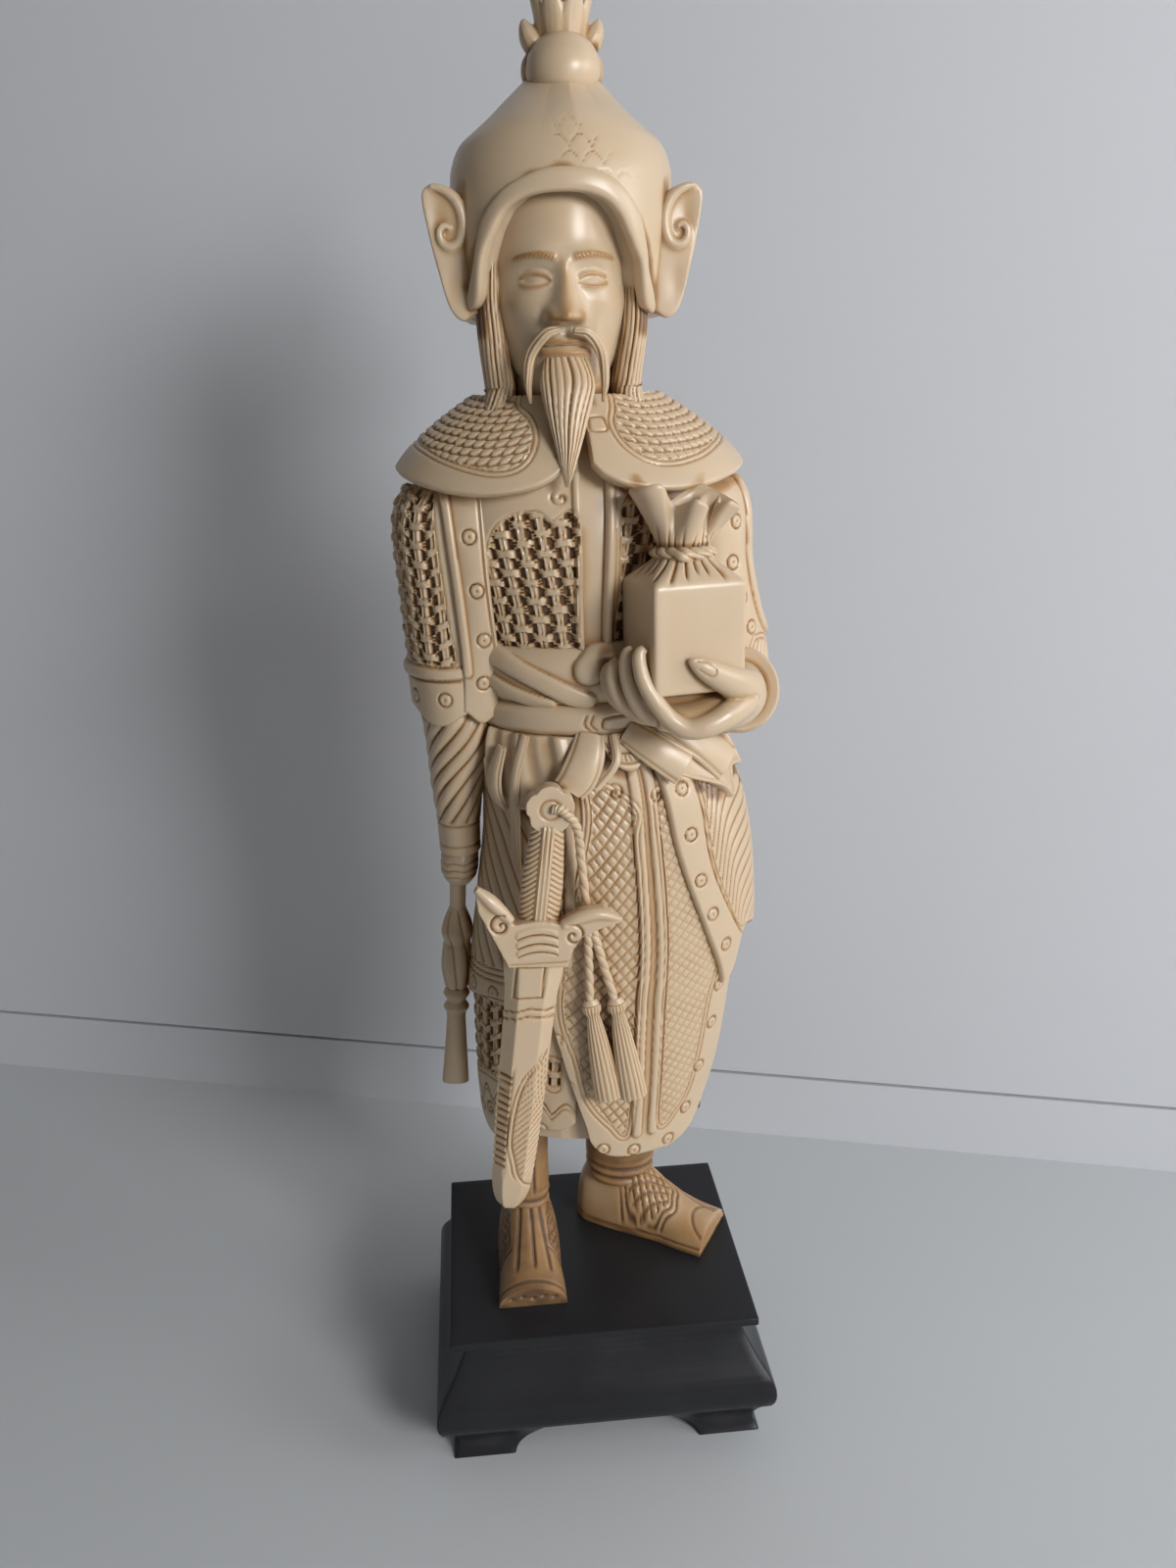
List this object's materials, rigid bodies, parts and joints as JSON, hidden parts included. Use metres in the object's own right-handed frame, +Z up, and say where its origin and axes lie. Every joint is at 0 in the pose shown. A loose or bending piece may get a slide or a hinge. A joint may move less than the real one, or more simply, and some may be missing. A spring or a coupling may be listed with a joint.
{
  "type": "statue",
  "caption": "Standing figure of a man in armour holding a tied parcel, in ivory-coloured resin, on a dark moulded plinth with bracket feet",
  "frame": {"origin": "middle of the plinth's underside, on the surface that it stands on", "axes": "+Z up, the figure faces -Y, +X is the figure's left"},
  "size_m": [0.084, 0.0737, 0.3201],
  "materials": {
    "ivory_resin": "satin to gloss, brown wash in the carving",
    "plinth_lacquer": "satin black lacquer",
    "pin_steel": "plain"
  },
  "bodies": {
    "root": {"foot_pin_right": "pin_steel", "foot_pin_left": "pin_steel", "plinth_slab": "plinth_lacquer", "plinth_moulding": "plinth_lacquer", "plinth_foot_front_right": "plinth_lacquer", "plinth_foot_front_left": "plinth_lacquer", "plinth_foot_back_right": "plinth_lacquer", "plinth_foot_back_left": "plinth_lacquer", "boot_right": "ivory_resin", "boot_left": "ivory_resin", "leg_right": "ivory_resin", "leg_left": "ivory_resin", "robe_core": "ivory_resin", "robe_back": "ivory_resin", "hem_guard_right": "ivory_resin", "hem_guard_left": "ivory_resin", "thigh_guard_right": "ivory_resin", "apron_front": "ivory_resin", "thigh_guard_left": "ivory_resin", "head": "ivory_resin", "torso_core": "ivory_resin", "sleeve_right": "ivory_resin", "sleeve_left": "ivory_resin", "cuirass_right": "ivory_resin", "cuirass_left": "ivory_resin", "collar": "ivory_resin", "hair": "ivory_resin", "sleeve_guard_right": "ivory_resin", "sleeve_guard_left": "ivory_resin", "shoulder_cape_right": "ivory_resin", "shoulder_cape_left": "ivory_resin", "beard": "ivory_resin", "moustache_right": "ivory_resin", "moustache_left": "ivory_resin", "helmet_shell": "ivory_resin", "helmet_brim": "ivory_resin", "helmet_wing_right": "ivory_resin", "helmet_wing_left": "ivory_resin", "helmet_knob": "ivory_resin", "helmet_plume": "ivory_resin", "waist_sash": "ivory_resin", "belt": "ivory_resin", "belt_pendant": "ivory_resin", "sash_end_right": "ivory_resin", "sash_end_left": "ivory_resin", "hand_right": "ivory_resin", "staff_shaft": "ivory_resin", "staff_knot": "ivory_resin", "staff_handle": "ivory_resin", "parcel_box": "ivory_resin", "parcel_tie": "ivory_resin", "parcel_ruffle": "ivory_resin", "hand_left": "ivory_resin", "dagger_scabbard": "ivory_resin", "dagger_guard": "ivory_resin", "dagger_grip": "ivory_resin", "dagger_pommel": "ivory_resin", "dagger_cord": "ivory_resin", "tassel_right": "ivory_resin", "tassel_left": "ivory_resin"}
  },
  "joints": []
}
